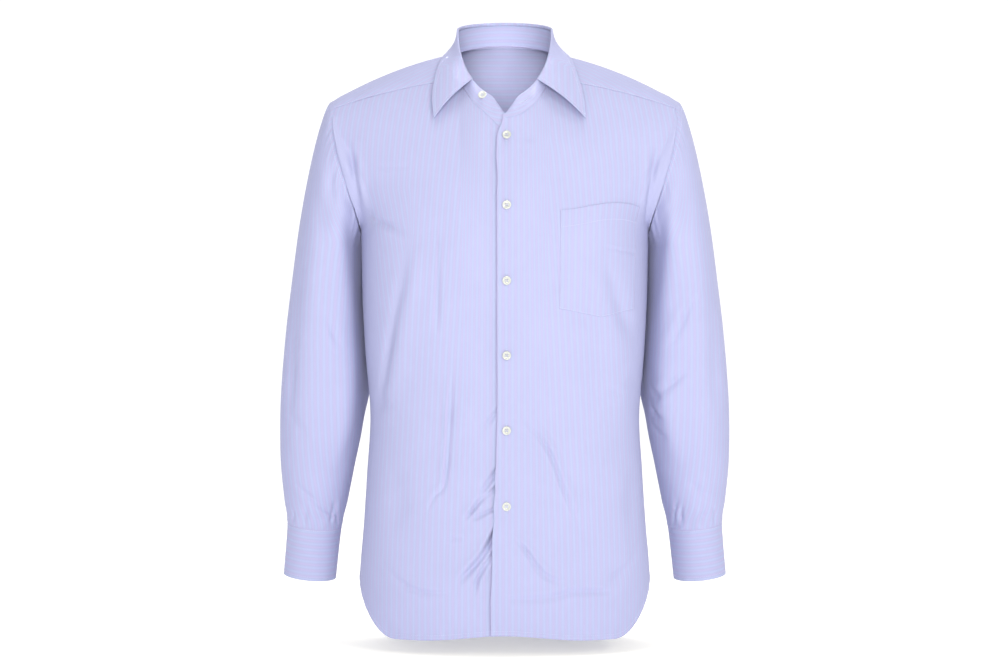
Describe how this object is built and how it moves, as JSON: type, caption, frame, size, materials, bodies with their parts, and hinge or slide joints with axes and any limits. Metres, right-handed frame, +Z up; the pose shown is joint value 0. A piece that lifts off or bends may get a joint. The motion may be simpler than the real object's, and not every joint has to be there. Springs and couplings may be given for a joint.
{
  "type": "long sleeve dress shirt",
  "caption": "Buttoned long sleeve dress shirt with an open point collar, chest pocket, barrel cuffs and curved shirt-tail hem, filled out as if worn.",
  "frame": {"origin": "middle of the neck opening, level with the collar seam at the sides of the neck, where the wearer's neck and shoulders hold the shirt", "axes": "+Z up, the front faces -Y, the wearer's left is +X"},
  "size_m": [0.604, 0.2499, 0.8386],
  "materials": {
    "shirting": "fine cotton poplin, lilac with narrow light blue and pink stripes",
    "button": "pearly white, softly polished"
  },
  "bodies": {
    "root": {"front_left": "shirting", "front_right": "shirting", "back": "shirting", "yoke": "shirting", "collar_stand": "shirting", "collar_leaf": "shirting", "sleeve_left": "shirting", "sleeve_right": "shirting", "cuff_left": "shirting", "cuff_right": "shirting", "sleeve_placket_left": "shirting", "sleeve_placket_right": "shirting", "pocket": "shirting", "button_front_1": "button", "button_front_2": "button", "button_front_3": "button", "button_front_4": "button", "button_front_5": "button", "button_front_6": "button", "button_collar": "button", "button_cuff_left": "button", "button_cuff_right": "button"}
  },
  "joints": []
}
